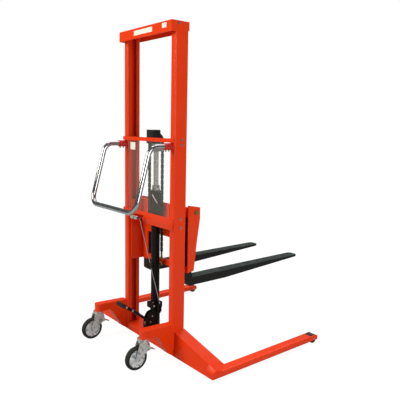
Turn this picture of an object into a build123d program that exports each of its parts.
from build123d import *
import os
from math import atan2, cos, sin, sqrt

# Hydraulic foot-pump straddle stacker. X is across, +Y runs forward along the forks, +Z is up.
# The origin is on the floor, midway between the uprights, level with their rear faces.
# All sizes are in millimetres.

os.makedirs("parts", exist_ok=True)

# ---- overall sizes
total_height = 1860.0
mast_half_width = 260.8
upright_width = 42.2
upright_depth = 86.4
upright_wall = 5.0
slot_rear_y = 28.1
slot_front_y = 61.1
leg_outer_half = 630.5
leg_width = 61.7
leg_tip_y = 848.3
leg_bottom_z = 17.8
leg_height = 34.8
leg_wall = 5.0
beam_top_z = 58.0
pump_foot_z = 68.0
beam_rear_y = -4.3
beam_front_y = 120.4
ridge_y = 13.0
ridge_root_z = 152.0
ridge_tip_z = 66.0

# ---- cap and crossbars
cap_height = 57.7
cap_rear_y = -31.0
cap_front_y = 87.3
cap_sheet = 6.0
cap_side_t = 3.0
bar_t = 9.0
mid_bar_z = 1225.0
mid_bar_h = 22.0
low_bar_z = 785.0
low_bar_h = 23.0
bracket_h = 43.0

# ---- handle
handle_r = 13.6
handle_wall = 2.5
handle_half = 240.0
handle_z = 1204.0
handle_bend_y = -142.0
handle_low_y = -236.0
handle_low_z = 853.0
handle_bend_r = 62.0
socket_r = 19.5
socket_len = 55.0

# ---- lift cylinder, sheave and chain
axis_y = 59.0
barrel_r = 26.0
barrel_bore_r = 19.0
barrel_bottom_z = 222.0
barrel_top_z = 935.0
gland_top_z = 966.0
ram_r = 15.0
ram_bottom_z = 420.0
sheave_z = 1225.0
chain_pitch_r = 45.0
chain_half_w = 9.0
chain_half_t = 6.0
head_r = chain_pitch_r - 9.0
yoke_z = 1166.0

# ---- carriage and forks
roller_r = 37.0
roller_w = 25.0
stub_r = 10.0
carriage_low_z = 478.0
carriage_top_z = 858.0
back_y = 102.0
back_t = 10.0
member_t = 9.0
side_plate_in = mast_half_width - 10.8
side_plate_t = 8.0
shaft_y = 161.0
shaft_z = 829.0
shaft_r = 12.0
fork_centre_x = 192.1
fork_width = 73.6
fork_top_z = 440.7
fork_height = 48.2
fork_rear_y = 124.3
fork_tip_y = 1104.0
fork_eye_r = 19.0

# ---- casters and leg rollers
tyre_r = 65.0
tyre_w = 28.0
hub_r = 49.0
swivel_x = 256.0
swivel_y = -193.0
caster_trail = 44.0
arm_width = 50.0
arm_under_z = 2.0 * tyre_r + 38.0
leg_roller_r = 28.0
leg_roller_w = 44.0

# ---- running clearances
run_fit = 0.08
seat_gap = 0.2

sides = (("left", -1.0), ("right", 1.0))


def save(part, node):
    part.label = node
    export_step(part, f"parts/{node}.step")


def side_prism(points, x0, x1, mode=Mode.ADD):
    """Extrude a closed (Y, Z) outline from x0 to x1."""
    with BuildSketch(Plane.YZ.offset(min(x0, x1))) as outline:
        with BuildLine():
            Polyline(*points, close=True)
        make_face()
    extrude(outline.sketch, amount=abs(x1 - x0), mode=mode)


def block(x, y, z, mode=Mode.ADD):
    """Axis-aligned block between pairs of coordinates."""
    with Locations(((x[0] + x[1]) / 2, (y[0] + y[1]) / 2, (z[0] + z[1]) / 2)):
        Box(abs(x[1] - x[0]), abs(y[1] - y[0]), abs(z[1] - z[0]), mode=mode)


def rod_x(r, x0, x1, y, z, mode=Mode.ADD):
    with Locations(((x0 + x1) / 2, y, z)):
        Cylinder(r, abs(x1 - x0), rotation=(0, 90, 0), mode=mode)


def rod_y(r, y0, y1, x, z, mode=Mode.ADD):
    with Locations((x, (y0 + y1) / 2, z)):
        Cylinder(r, abs(y1 - y0), rotation=(90, 0, 0), mode=mode)


def rod_z(r, z0, z1, x, y, mode=Mode.ADD):
    with Locations((x, y, (z0 + z1) / 2)):
        Cylinder(r, abs(z1 - z0), mode=mode)


def hex_head_x(flat, x0, x1, y, z):
    """Hexagon bolt head whose axis runs along X."""
    with BuildSketch(Plane.YZ.offset(min(x0, x1))) as head:
        with Locations((y, z)):
            RegularPolygon(flat / 2, 6, major_radius=False)
    extrude(head.sketch, amount=abs(x1 - x0))


# ================= mast =================
upright_top_z = total_height - cap_sheet
slot_in = mast_half_width - upright_width
for name, s in sides:
    with BuildPart() as upright:
        with BuildSketch(Plane.XY.offset(beam_top_z)):
            with Locations((s * (mast_half_width - upright_width / 2), upright_depth / 2)):
                RectangleRounded(upright_width, upright_depth, 8)
                RectangleRounded(upright_width - 2 * upright_wall, upright_depth - 2 * upright_wall, 3,
                                 mode=Mode.SUBTRACT)
            with Locations((s * (slot_in + upright_wall / 2), (slot_rear_y + slot_front_y) / 2)):
                Rectangle(2 * upright_wall, slot_front_y - slot_rear_y, mode=Mode.SUBTRACT)
        extrude(amount=upright_top_z - beam_top_z)
    save(upright.part, f"{name}_upright")

cap_low_z = total_height - cap_height
with BuildPart() as cap:
    block((-mast_half_width, mast_half_width), (cap_rear_y, cap_front_y), (upright_top_z, total_height))
    block((-mast_half_width, mast_half_width), (cap_rear_y, cap_rear_y + 5), (cap_low_z, upright_top_z))
    block((-slot_in + 1, slot_in - 1), (cap_front_y - 5, cap_front_y), (cap_low_z + 8, upright_top_z))
    rear_edges = cap.edges().filter_by(Axis.X).sort_by(Axis.Z)[-2:]
    fillet(rear_edges.sort_by(Axis.Y)[0], 4)
    for s in (-1, 1):
        side_prism([(cap_rear_y, cap_low_z), (cap_rear_y, total_height - 4), (cap_rear_y + 4, total_height),
                    (cap_front_y, total_height), (cap_front_y, cap_low_z + 12), (cap_rear_y + 30, cap_low_z)],
                   s * mast_half_width, s * (mast_half_width + cap_side_t))
save(cap.part, "top_crossbeam")

anchor_top_z = low_bar_z + 13
with BuildPart() as mid_bar:
    block((-mast_half_width, mast_half_width), (-bar_t, 0), (mid_bar_z, mid_bar_z + mid_bar_h))
save(mid_bar.part, "mid_crossbar")

with BuildPart() as low_bar:
    block((-mast_half_width, mast_half_width), (-bar_t, 0), (low_bar_z, low_bar_z + low_bar_h))
    block((-15, 15), (0, 24), (low_bar_z - 5, anchor_top_z))
save(low_bar.part, "lower_crossbar")

bracket_z = low_bar_z - bracket_h / 2
lever_pivot_x = -12.0
lever_y = -38.0
lever_pivot_z = low_bar_z - 15.0
with BuildPart() as bracket:
    with BuildSketch(Plane.XZ.offset(bar_t - 5)):
        with Locations(((-38 + mast_half_width) / 2, bracket_z)):
            Rectangle(mast_half_width + 38 - 2, bracket_h)
    extrude(amount=5)
    fillet(bracket.edges().filter_by(Axis.Y).group_by(Axis.X)[0], 16)
    rod_y(5, -48, -bar_t, lever_pivot_x, lever_pivot_z)
save(bracket.part, "lever_bracket")

panel_half = slot_in - 3
panel_low_z = anchor_top_z + 1
panel_top_z = mid_bar_z + 12
with BuildPart() as panel:
    block((-panel_half, panel_half), (0, 3), (panel_low_z, panel_top_z))
save(panel.part, "guard_panel")

with BuildPart() as labels:
    block((-101, 85), (cap_rear_y - 0.6, cap_rear_y), (cap_low_z + 18, cap_low_z + 44))
    block((178, 220), (cap_rear_y - 0.6, cap_rear_y), (cap_low_z + 23, cap_low_z + 48))
    block((-189, -134), (-0.5, 0), (mid_bar_z - 55, mid_bar_z - 11))
save(labels.part, "blank_labels")

# ================= handle =================
with BuildPart() as sockets:
    for s in (-1, 1):
        rod_y(socket_r, -socket_len, 0, s * handle_half, handle_z)
        rod_y(handle_r + seat_gap, -socket_len - 1, -6, s * handle_half, handle_z, Mode.SUBTRACT)
        for y in (-socket_len + 13, -20):
            rod_z(3.2, handle_z - socket_r - 1, handle_z - handle_r, s * handle_half, y, Mode.SUBTRACT)
save(sockets.part, "handle_sockets")

with BuildPart() as handle:
    with BuildLine() as handle_path:
        FilletPolyline(
            (-handle_half, -8, handle_z),
            (-handle_half, handle_bend_y, handle_z),
            (-handle_half, handle_low_y, handle_low_z),
            (handle_half, handle_low_y, handle_low_z),
            (handle_half, handle_bend_y, handle_z),
            (handle_half, -8, handle_z),
            radius=handle_bend_r,
        )
    with BuildSketch(Plane(origin=(-handle_half, -8, handle_z), z_dir=(0, -1, 0))):
        Circle(handle_r)
        Circle(handle_r - handle_wall, mode=Mode.SUBTRACT)
    sweep()
save(handle.part, "handle_tube")

bolt_z = (mid_bar_z + 15, mid_bar_z - 12, low_bar_z + 18, low_bar_z - 33)
with BuildPart() as bolts:
    for s in (-1, 1):
        face = s * mast_half_width
        for z in bolt_z:
            rod_x(7, face, face + s * 1.5, 47, z)
            hex_head_x(11, face + s * 1.5, face + s * 6, 47, z)
        hex_head_x(13, face + s * cap_side_t, face + s * (cap_side_t + 5), 17.5, total_height - 13)
        for z in (panel_low_z + 4, panel_top_z - 6):
            rod_y(4, 3, 5, s * (panel_half - 14), z)
        for y in (-socket_len + 13, -20):
            rod_z(3, handle_z - socket_r - 2, handle_z - handle_r - 0.3, s * handle_half, y)
            rod_z(5.5, handle_z - socket_r - 7, handle_z - socket_r - 0.4, s * handle_half, y)
save(bolts.part, "mast_bolts")

# ================= base =================
with BuildPart() as beam:
    block((-mast_half_width, mast_half_width), (beam_rear_y, beam_front_y), (leg_bottom_z, beam_top_z))
    block((-mast_half_width, mast_half_width), (beam_rear_y + 6, beam_front_y - 6),
          (leg_bottom_z + 6, beam_top_z - 6), Mode.SUBTRACT)
    block((-40, 40), (-18, 98), (beam_top_z, pump_foot_z))
save(beam.part, "base_beam")

leg_inner_half = leg_outer_half - leg_width
leg_top_z = leg_bottom_z + leg_height
leg_mid_z = leg_bottom_z + leg_height / 2
leg_centre = leg_outer_half - leg_width / 2
tip_axis_y = leg_tip_y - leg_roller_r
ridge_end_z = ridge_root_z + (ridge_tip_z - ridge_root_z) * (leg_inner_half - mast_half_width) / (
    leg_outer_half - mast_half_width)
with BuildPart() as outriggers:
    for s in (-1, 1):
        with BuildSketch(Plane.YZ.offset(s * mast_half_width)) as root:
            with BuildLine():
                Polyline((beam_rear_y, leg_bottom_z), (ridge_y, ridge_root_z), (upright_depth, ridge_root_z + 3),
                         (beam_front_y, 62), (beam_front_y, leg_bottom_z), close=True)
            make_face()
        with BuildSketch(Plane.YZ.offset(s * leg_inner_half)) as end:
            with BuildLine():
                Polyline((beam_rear_y, leg_bottom_z), (ridge_y, ridge_end_z), (beam_front_y - 3, leg_top_z + 2),
                         (beam_front_y, leg_top_z), (beam_front_y, leg_bottom_z), close=True)
            make_face()
        loft([root.sketch.face(), end.sketch.face()], ruled=True)
        with BuildSketch(Plane.YZ.offset(s * leg_inner_half)) as cheek:
            with BuildLine():
                Polyline((beam_rear_y + 1, leg_top_z), (ridge_y, ridge_end_z), (beam_front_y - 3, leg_top_z),
                         close=True)
            make_face()
        with BuildSketch(Plane.YZ.offset(s * leg_outer_half)) as cheek_end:
            with BuildLine():
                Polyline((beam_rear_y + 1, leg_top_z), (ridge_y, ridge_tip_z), (60, leg_top_z), close=True)
            make_face()
        loft([cheek.sketch.face(), cheek_end.sketch.face()], ruled=True)
save(outriggers.part, "outriggers")

for name, s in sides:
    with BuildPart() as leg:
        with BuildSketch(Plane.XZ.offset(-leg_tip_y)):
            with Locations((s * leg_centre, leg_mid_z)):
                RectangleRounded(leg_width, leg_height, 8)
        extrude(amount=leg_tip_y - beam_rear_y)
        block((s * leg_centre - leg_width / 2 + leg_wall, s * leg_centre + leg_width / 2 - leg_wall),
              (beam_rear_y + leg_wall, tip_axis_y - leg_roller_r - 9),
              (leg_bottom_z + leg_wall, leg_top_z - leg_wall), Mode.SUBTRACT)
        block((s * leg_centre - leg_width / 2 + 6, s * leg_centre + leg_width / 2 - 6),
              (tip_axis_y - leg_roller_r - 4, leg_tip_y + 1), (0, 80), Mode.SUBTRACT)
        rod_x(6 + run_fit, s * leg_centre - 40, s * leg_centre + 40, tip_axis_y, leg_roller_r, Mode.SUBTRACT)
        with BuildSketch(Plane.YZ.offset(s * leg_centre - 40)) as nose:
            with Locations(((beam_rear_y + leg_tip_y) / 2, leg_mid_z)):
                Rectangle(leg_tip_y - beam_rear_y, leg_height)
            fillet(nose.vertices().group_by(Axis.Y)[-1], 14)
        extrude(amount=80, mode=Mode.INTERSECT)
    save(leg.part, f"{name}_leg")

    with BuildPart() as leg_roller:
        rod_x(leg_roller_r, s * leg_centre - leg_roller_w / 2, s * leg_centre + leg_roller_w / 2,
              tip_axis_y, leg_roller_r)
        chamfer(leg_roller.edges().filter_by(GeomType.CIRCLE), 2)
        rod_x(6 + run_fit, s * leg_centre - 40, s * leg_centre + 40, tip_axis_y, leg_roller_r, Mode.SUBTRACT)
    save(leg_roller.part, f"{name}_leg_roller")

with BuildPart() as roller_axles:
    for s in (-1, 1):
        rod_x(6, s * leg_centre - leg_width / 2, s * leg_centre + leg_width / 2, tip_axis_y, leg_roller_r)
save(roller_axles.part, "leg_roller_axles")

# ================= caster arms and casters =================
arm_rear_y = swivel_y - 19
wheel_y = swivel_y - caster_trail
fork_in = tyre_w / 2 + 2.5
brake_y = wheel_y + tyre_r + 7
brake_z = tyre_r + 40
for name, s in sides:
    arm_x = s * swivel_x
    with BuildPart() as fork:
        crown_z = 2 * tyre_r + 20
        rod_z(30, crown_z, arm_under_z - 6.3, arm_x, swivel_y)
        rod_z(10 + run_fit, crown_z + 3, arm_under_z, arm_x, swivel_y, Mode.SUBTRACT)
        for k in (-1, 1):
            side_prism([(swivel_y + 26, crown_z + 5), (brake_y + 8, brake_z + 8), (brake_y + 8, brake_z - 7),
                        (brake_y - 9, brake_z - 9), (wheel_y + 14, tyre_r), (wheel_y + 9, tyre_r - 12),
                        (wheel_y - 9, tyre_r - 12), (wheel_y - 14, tyre_r), (swivel_y - 28, crown_z + 5)],
                       arm_x + k * fork_in, arm_x + k * (fork_in + 4))
        rod_x(3 + run_fit, arm_x - 40, arm_x + 40, brake_y, brake_z, Mode.SUBTRACT)
        rod_x(6, arm_x - fork_in - 4.1, arm_x + fork_in + 4.1, wheel_y, tyre_r)
        for k in (-1, 1):
            hex_head_x(18, arm_x + k * (fork_in + 4.1), arm_x + k * (fork_in + 11), wheel_y, tyre_r)
    save(fork.part, f"{name}_caster_fork")

    with BuildPart() as hub:
        rod_x(hub_r, arm_x - 12, arm_x + 12, wheel_y, tyre_r)
        rod_x(hub_r - 7, arm_x - 13, arm_x - 5, wheel_y, tyre_r, Mode.SUBTRACT)
        rod_x(hub_r - 7, arm_x + 5, arm_x + 13, wheel_y, tyre_r, Mode.SUBTRACT)
        rod_x(14, arm_x - fork_in + 0.5, arm_x + fork_in - 0.5, wheel_y, tyre_r)
        rod_x(6 + run_fit, arm_x - 40, arm_x + 40, wheel_y, tyre_r, Mode.SUBTRACT)
    save(hub.part, f"{name}_caster_hub")

    with BuildPart() as tyre:
        rod_x(tyre_r, arm_x - tyre_w / 2, arm_x + tyre_w / 2, wheel_y, tyre_r)
        fillet(tyre.edges().filter_by(GeomType.CIRCLE), 5)
        rod_x(hub_r + seat_gap, arm_x - tyre_w, arm_x + tyre_w, wheel_y, tyre_r, Mode.SUBTRACT)
    save(tyre.part, f"{name}_caster_tyre")

    with BuildPart() as brake:
        rod_x(6, arm_x - fork_in + 0.5, arm_x + fork_in - 0.5, brake_y, brake_z)
        side_prism([(brake_y + 2, brake_z + 5), (brake_y + 44, brake_z - 14), (brake_y + 42, brake_z - 18),
                    (brake_y, brake_z - 1)], arm_x - 13, arm_x + 13)
        rod_x(3, arm_x - fork_in - 3.9, arm_x + fork_in + 3.9, brake_y, brake_z)
    save(brake.part, f"{name}_caster_brake")

with BuildPart() as arms:
    for s in (-1, 1):
        arm_x = s * swivel_x
        side_prism([(0, arm_under_z + 41), (0, beam_top_z), (beam_rear_y, beam_top_z),
                    (beam_rear_y, leg_bottom_z + 3), (-36, 41), (-82, 114), (-103, 150),
                    (-126, arm_under_z), (arm_rear_y, arm_under_z), (arm_rear_y, arm_under_z + 49)],
                   arm_x - arm_width / 2, arm_x + arm_width / 2)
    fillet(arms.edges().filter_by(Axis.Z).group_by(Axis.Y)[0], arm_width / 2 - 3)
    for arm_top in arms.faces().filter_by(lambda f: f.normal_at().Z > 0.9).sort_by(Axis.Z)[-2:]:
        fillet(arm_top.edges(), 2)
    for s in (-1, 1):
        rod_z(6.3, arm_under_z - 1, arm_under_z + 25, s * swivel_x, swivel_y, Mode.SUBTRACT)
save(arms.part, "caster_arms")

with BuildPart() as races:
    for s in (-1, 1):
        rod_z(32, arm_under_z - 6, arm_under_z, s * swivel_x, swivel_y)
        rod_z(6, arm_under_z, arm_under_z + 24, s * swivel_x, swivel_y)
        rod_z(10, arm_under_z - 12, arm_under_z - 6, s * swivel_x, swivel_y)
save(races.part, "caster_races")

# ================= lift cylinder =================
with BuildPart() as barrel:
    rod_z(head_r, anchor_top_z + 2, barrel_top_z, 0, axis_y)
    chamfer(barrel.edges().filter_by(GeomType.CIRCLE), 7)
    rod_z(barrel_r, barrel_bottom_z, anchor_top_z + 2, 0, axis_y)
    rod_z(barrel_bore_r, barrel_bottom_z + 12, barrel_top_z + 1, 0, axis_y, Mode.SUBTRACT)
save(barrel.part, "cylinder_barrel")

with BuildPart() as gland:
    rod_z(barrel_r - 1, barrel_top_z, barrel_top_z + 12, 0, axis_y)
    chamfer(gland.edges().group_by(Axis.Z)[-1], 4)
    with BuildSketch(Plane.XY.offset(barrel_top_z + 12)):
        with Locations((0, axis_y)):
            RegularPolygon(19, 6, major_radius=False)
    extrude(amount=gland_top_z - barrel_top_z - 12)
    rod_z(ram_r + run_fit, barrel_top_z - 1, gland_top_z + 1, 0, axis_y, Mode.SUBTRACT)
save(gland.part, "gland_nut")

with BuildPart() as ram:
    rod_z(ram_r, ram_bottom_z, yoke_z, 0, axis_y)
    rod_z(barrel_bore_r - run_fit, ram_bottom_z, ram_bottom_z + 30, 0, axis_y)
save(ram.part, "lift_ram")

# ================= pump =================
pivot_y = 15.0
pivot_z = 133.0
plunger_y = -10.0
valve_x = 45.0
valve_y = 60.0
with BuildPart() as pump_body:
    rod_z(10, pump_foot_z, 118, 0, plunger_y)
    rod_z(5 + run_fit, pump_foot_z + 10, 130, 0, plunger_y, Mode.SUBTRACT)
    rod_z(30, pump_foot_z, 250, 0, axis_y)
    block((-30, 30), (20, 92), (216, 250))
    for k in (-1, 1):
        side_prism([(-16, pump_foot_z), (-16, 120), (-13, 156), (-2, 178), (12, 194), (44, 200),
                    (44, pump_foot_z)], k * 9, k * 16)
    rod_x(5 + run_fit, -30, 30, pivot_y, pivot_z, Mode.SUBTRACT)
    rod_z(barrel_r + seat_gap, barrel_bottom_z, 260, 0, axis_y, Mode.SUBTRACT)
save(pump_body.part, "pump_body")

with BuildPart() as valve:
    block((30, valve_x), (valve_y - 14, valve_y + 14), (216, 244))
    rod_z(14, 200, 246.4, valve_x, valve_y)
    rod_z(8, 190, 200, valve_x, valve_y)
save(valve.part, "valve_body")

with BuildPart() as plunger:
    rod_z(5, beam_top_z + 38, 138, 0, plunger_y)
    rod_z(6, 135.5, 139, 0, plunger_y)
save(plunger.part, "pump_plunger")

arm_end = (-112.0, 235.0)
arm_angle = atan2(arm_end[1] - pivot_z, pivot_y - arm_end[0])
arm_len = sqrt((arm_end[1] - pivot_z) ** 2 + (pivot_y - arm_end[0]) ** 2)
arm_dir = (0, -cos(arm_angle), sin(arm_angle))
pad_angle = 0.604
pad_dir = (0, -cos(pad_angle), sin(pad_angle))
clamp_start = Vector(0, -98, 222.5)
clamp_len = 80.0
pad_len = 34.0
pad_width = 62.0
pad_thick = 20.0
with BuildPart() as pedal:
    rod_x(11, -8.5, 8.5, pivot_y, pivot_z)
    with BuildSketch(Plane(origin=(0, pivot_y, pivot_z), z_dir=arm_dir)) as bar_section:
        Circle(6.5)
    extrude(bar_section.sketch, amount=arm_len)
    with BuildSketch(Plane(origin=Vector(0, pivot_y, pivot_z) + Vector(*arm_dir) * 52, z_dir=arm_dir)) as sleeve:
        Circle(9)
    extrude(sleeve.sketch, amount=arm_len - 52)
    with BuildSketch(Plane(origin=clamp_start, x_dir=(1, 0, 0), z_dir=pad_dir)) as clamp:
        Rectangle(20, 20)
    extrude(clamp.sketch, amount=clamp_len)
    rod_x(5 + run_fit, -30, 30, pivot_y, pivot_z, Mode.SUBTRACT)
save(pedal.part, "pedal_arm")

with BuildPart() as pivot_pin:
    rod_x(5, -19, 19, pivot_y, pivot_z)
save(pivot_pin.part, "pedal_pivot_pin")

pad_plane = Plane(origin=clamp_start + Vector(*pad_dir) * clamp_len, x_dir=(1, 0, 0), z_dir=pad_dir)
with BuildPart() as pad:
    with BuildSketch(pad_plane):
        RectangleRounded(pad_width, pad_thick, 5)
    extrude(amount=pad_len)
save(pad.part, "pedal_pad")

# ================= release lever and rod =================
rod_top = Vector(lever_pivot_x - 20, lever_y, lever_pivot_z)
rod_low = Vector(valve_x, valve_y, 252)
rod_dir = (rod_top - rod_low).normalized()
rod_len = (rod_top - rod_low).length
grip_x = -122.0
with BuildPart() as lever:
    rod_y(9, lever_y - 4, lever_y + 4, lever_pivot_x, lever_pivot_z)
    block((grip_x + 12, lever_pivot_x), (lever_y - 2, lever_y + 2), (lever_pivot_z - 6, lever_pivot_z + 6))
    rod_y(8, lever_y - 2, lever_y + 2, rod_top.X, rod_top.Z)
    rod_y(5 + run_fit, lever_y - 9, lever_y + 9, lever_pivot_x, lever_pivot_z, Mode.SUBTRACT)
    rod_y(4.6, lever_y - 9, lever_y + 9, rod_top.X, rod_top.Z, Mode.SUBTRACT)
save(lever.part, "release_lever")

with BuildPart() as grip:
    block((grip_x, -54), (lever_y - 7, lever_y + 7), (lever_pivot_z - 10, lever_pivot_z + 10))
    fillet(grip.edges(), 5)
    block((grip_x + 11.7, 0), (lever_y - 2.2, lever_y + 2.2), (lever_pivot_z - 6.2, lever_pivot_z + 6.2),
          Mode.SUBTRACT)
save(grip.part, "release_lever_grip")

knee = Vector(rod_top.X, lever_y + 9, rod_top.Z - 14)
with BuildPart() as release_rod:
    with BuildSketch(Plane(origin=knee, z_dir=(rod_low - knee).normalized())) as wire:
        Circle(2.5)
    extrude(wire.sketch, amount=(rod_low - knee).length)
    with Locations(knee):
        Sphere(2.5)
    rod_z(2.5, knee.Z, rod_top.Z, rod_top.X, knee.Y)
    with Locations((rod_top.X, knee.Y, rod_top.Z)):
        Sphere(2.5)
    rod_y(2.5, lever_y - 7, knee.Y, rod_top.X, rod_top.Z)
    with Locations(rod_low):
        Sphere(5)
    rod_z(4, 247.2, 254, valve_x, valve_y)
save(release_rod.part, "release_rod")

low_dir = (rod_low - knee).normalized()
buckle_at = knee + low_dir * ((knee.Z - 500) / -low_dir.Z)
with BuildPart() as buckle:
    with BuildSketch(Plane(origin=buckle_at, z_dir=low_dir)) as buckle_ring:
        RegularPolygon(6.5, 6, major_radius=False)
        Circle(2.5 + seat_gap, mode=Mode.SUBTRACT)
    extrude(amount=34)
save(buckle.part, "rod_turnbuckle")

# ================= crosshead and chain =================
rear_chain_y = axis_y - chain_pitch_r
front_chain_y = axis_y + chain_pitch_r
sheave_root_r = chain_pitch_r - chain_half_t - 0.3
plate_in = 13.5
with BuildPart() as yoke:
    block((-25, 25), (axis_y - chain_pitch_r + 12, axis_y + chain_pitch_r - 12), (yoke_z, yoke_z + 10))
    for k in (-1, 1):
        side_prism([(rear_chain_y + 1, yoke_z), (rear_chain_y + 1, sheave_z - 15), (axis_y - 16, sheave_z + 18),
                    (axis_y + 16, sheave_z + 18), (axis_y + 32, yoke_z + 10), (axis_y + 32, yoke_z)],
                   k * plate_in, k * (plate_in + 5))
    rod_x(stub_r + run_fit, -40, 40, axis_y, sheave_z, Mode.SUBTRACT)
save(yoke.part, "crosshead_yoke")

with BuildPart() as sheave_axle:
    rod_x(stub_r, -25.2, 25.2, axis_y, sheave_z)
save(sheave_axle.part, "sheave_axle")

with BuildPart() as sheave:
    rod_x(sheave_root_r, -12.5, 12.5, axis_y, sheave_z)
    for k in (-1, 1):
        rod_x(sheave_root_r + 9, k * 9.6, k * 12.5, axis_y, sheave_z)
    rod_x(stub_r + run_fit, -40, 40, axis_y, sheave_z, Mode.SUBTRACT)
save(sheave.part, "chain_sheave")

cover_low_z = sheave_z - 13
with BuildPart() as cover:
    block((-28, 28), (axis_y - 54.5, axis_y + 11), (cover_low_z, sheave_z + 66))
    fillet(cover.edges().filter_by(Axis.Z).group_by(Axis.Y)[0], 12)
    fillet(cover.faces().sort_by(Axis.Z)[-1].edges(), 3)
    block((-25.5, 25.5), (axis_y - 52, axis_y + 12), (cover_low_z - 1, sheave_z + 63.5), Mode.SUBTRACT)
save(cover.part, "crosshead_cover")

with BuildPart() as chain_wrap:
    rod_x(chain_pitch_r + chain_half_t, -chain_half_w, chain_half_w, axis_y, sheave_z)
    rod_x(chain_pitch_r - chain_half_t, -20, 20, axis_y, sheave_z, Mode.SUBTRACT)
    block((-20, 20), (axis_y - 80, axis_y + 80), (sheave_z - 90, sheave_z), Mode.SUBTRACT)
save(chain_wrap.part, "chain_over_sheave")

with BuildPart() as rear_chain:
    block((-chain_half_w, chain_half_w), (rear_chain_y - chain_half_t, rear_chain_y + chain_half_t),
          (anchor_top_z, sheave_z))
save(rear_chain.part, "rear_chain_run")

front_low_z = 556.0
with BuildPart() as front_chain:
    block((-chain_half_w, chain_half_w), (front_chain_y - chain_half_t, front_chain_y + chain_half_t),
          (front_low_z, sheave_z))
save(front_chain.part, "front_chain_run")

# ================= carriage =================
member_y = back_y + back_t
member_front_y = member_y + member_t
roller_y = upright_depth / 2
roller_mid_x = slot_in + upright_wall + (upright_width - 2 * upright_wall) / 2
plate_out = slot_in - 4.6
stub_z = (carriage_low_z + 42, carriage_top_z - 43)
back_step_z = 660.0
shank_in = fork_centre_x - fork_width / 2 - 5
with BuildPart() as back_plates:
    for s in (-1, 1):
        block((s * 16, s * plate_out), (back_y, member_y), (back_step_z, carriage_top_z))
        block((s * shank_in, s * plate_out), (back_y, member_y), (carriage_low_z, back_step_z))
save(back_plates.part, "carriage_back_plates")

with BuildPart() as roller_plates:
    for s in (-1, 1):
        block((s * (plate_out - 8), s * plate_out), (20, back_y), (carriage_low_z, carriage_top_z))
    fillet(roller_plates.edges().filter_by(Axis.X).group_by(Axis.Y)[0], 14)
    for s in (-1, 1):
        for z in stub_z:
            rod_x(stub_r, s * plate_out, s * (roller_mid_x + roller_w / 2 + 2), roller_y, z)
            rod_x(stub_r + 5, s * plate_out, s * (roller_mid_x - roller_w / 2 - 0.6), roller_y, z)
save(roller_plates.part, "carriage_roller_plates")

for name, s in sides:
    for tag, z in zip(("lower", "upper"), stub_z):
        with BuildPart() as roller:
            rod_x(roller_r, s * (roller_mid_x - roller_w / 2), s * (roller_mid_x + roller_w / 2), roller_y, z)
            chamfer(roller.edges().filter_by(GeomType.CIRCLE), 2)
            rod_x(stub_r + run_fit, s * slot_in, s * mast_half_width, roller_y, z, Mode.SUBTRACT)
        save(roller.part, f"{name}_{tag}_mast_roller")

with BuildPart() as side_plates:
    for s in (-1, 1):
        side_prism([(105, 873), (190.6, 857), (190.8, 792), (172, 668), (151, carriage_low_z + 10),
                    (107, carriage_low_z + 5)], s * side_plate_in, s * (side_plate_in + side_plate_t))
    fillet(side_plates.edges().filter_by(Axis.X), 4)
    rod_x(8 + seat_gap, -270, 270, shaft_y, shaft_z, Mode.SUBTRACT)
save(side_plates.part, "carriage_side_plates")

with BuildPart() as members:
    block((-side_plate_in, side_plate_in), (member_y, member_front_y), (carriage_top_z - 55, carriage_top_z))
    block((-side_plate_in, side_plate_in), (member_y, member_front_y), (carriage_low_z, carriage_low_z + 34))
    block((-20, 20), (axis_y + head_r + 1, member_y), (carriage_low_z + 20, carriage_low_z + 32))
    rod_z(6 + seat_gap, carriage_low_z, carriage_low_z + 60, 0, front_chain_y, Mode.SUBTRACT)
save(members.part, "carriage_cross_members")

with BuildPart() as carriage_bolts:
    for s in (-1, 1):
        rod_x(8, s * side_plate_in, s * (side_plate_in + side_plate_t), shaft_y, shaft_z)
        hex_head_x(24, s * (side_plate_in + side_plate_t), s * (side_plate_in + side_plate_t + 9),
                   shaft_y, shaft_z)
    rod_z(6, carriage_low_z - 8, front_low_z, 0, front_chain_y)
    with BuildSketch(Plane.XY.offset(carriage_low_z + 8), Plane.XY.offset(carriage_low_z + 32)) as nuts:
        with Locations((0, front_chain_y)):
            RegularPolygon(7.9, 6, major_radius=False)
    extrude(amount=12)
save(carriage_bolts.part, "carriage_bolts")

with BuildPart() as fork_shaft:
    rod_x(shaft_r, -side_plate_in, side_plate_in, shaft_y, shaft_z)
save(fork_shaft.part, "fork_shaft")

blade_low_z = fork_top_z - fork_height
for name, s in sides:
    with BuildPart() as lift_fork:
        side_prism([(fork_rear_y, blade_low_z + 14), (fork_rear_y, shaft_z + 4), (shaft_y, shaft_z + 4),
                    (fork_rear_y + 36, shaft_z - 60), (fork_rear_y + 34, fork_top_z + 26),
                    (fork_rear_y + 44, fork_top_z), (fork_tip_y, fork_top_z),
                    (fork_tip_y, fork_top_z - 12), (fork_rear_y + 300, blade_low_z),
                    (fork_rear_y + 16, blade_low_z)],
                   s * (fork_centre_x - fork_width / 2), s * (fork_centre_x + fork_width / 2))
        rod_x(fork_eye_r, s * (fork_centre_x - fork_width / 2), s * (fork_centre_x + fork_width / 2),
              shaft_y, shaft_z)
        block((s * (fork_centre_x - fork_width / 2), s * (fork_centre_x + fork_width / 2)),
              (fork_rear_y, shaft_y), (shaft_z - 30, shaft_z + 12))
        tip_edges = lift_fork.edges().filter_by(Axis.Z).group_by(Axis.Y)[-1]
        fillet(tip_edges, 24)
        rod_x(shaft_r + run_fit, s * 100, s * 290, shaft_y, shaft_z, Mode.SUBTRACT)
    save(lift_fork.part, f"{name}_fork")
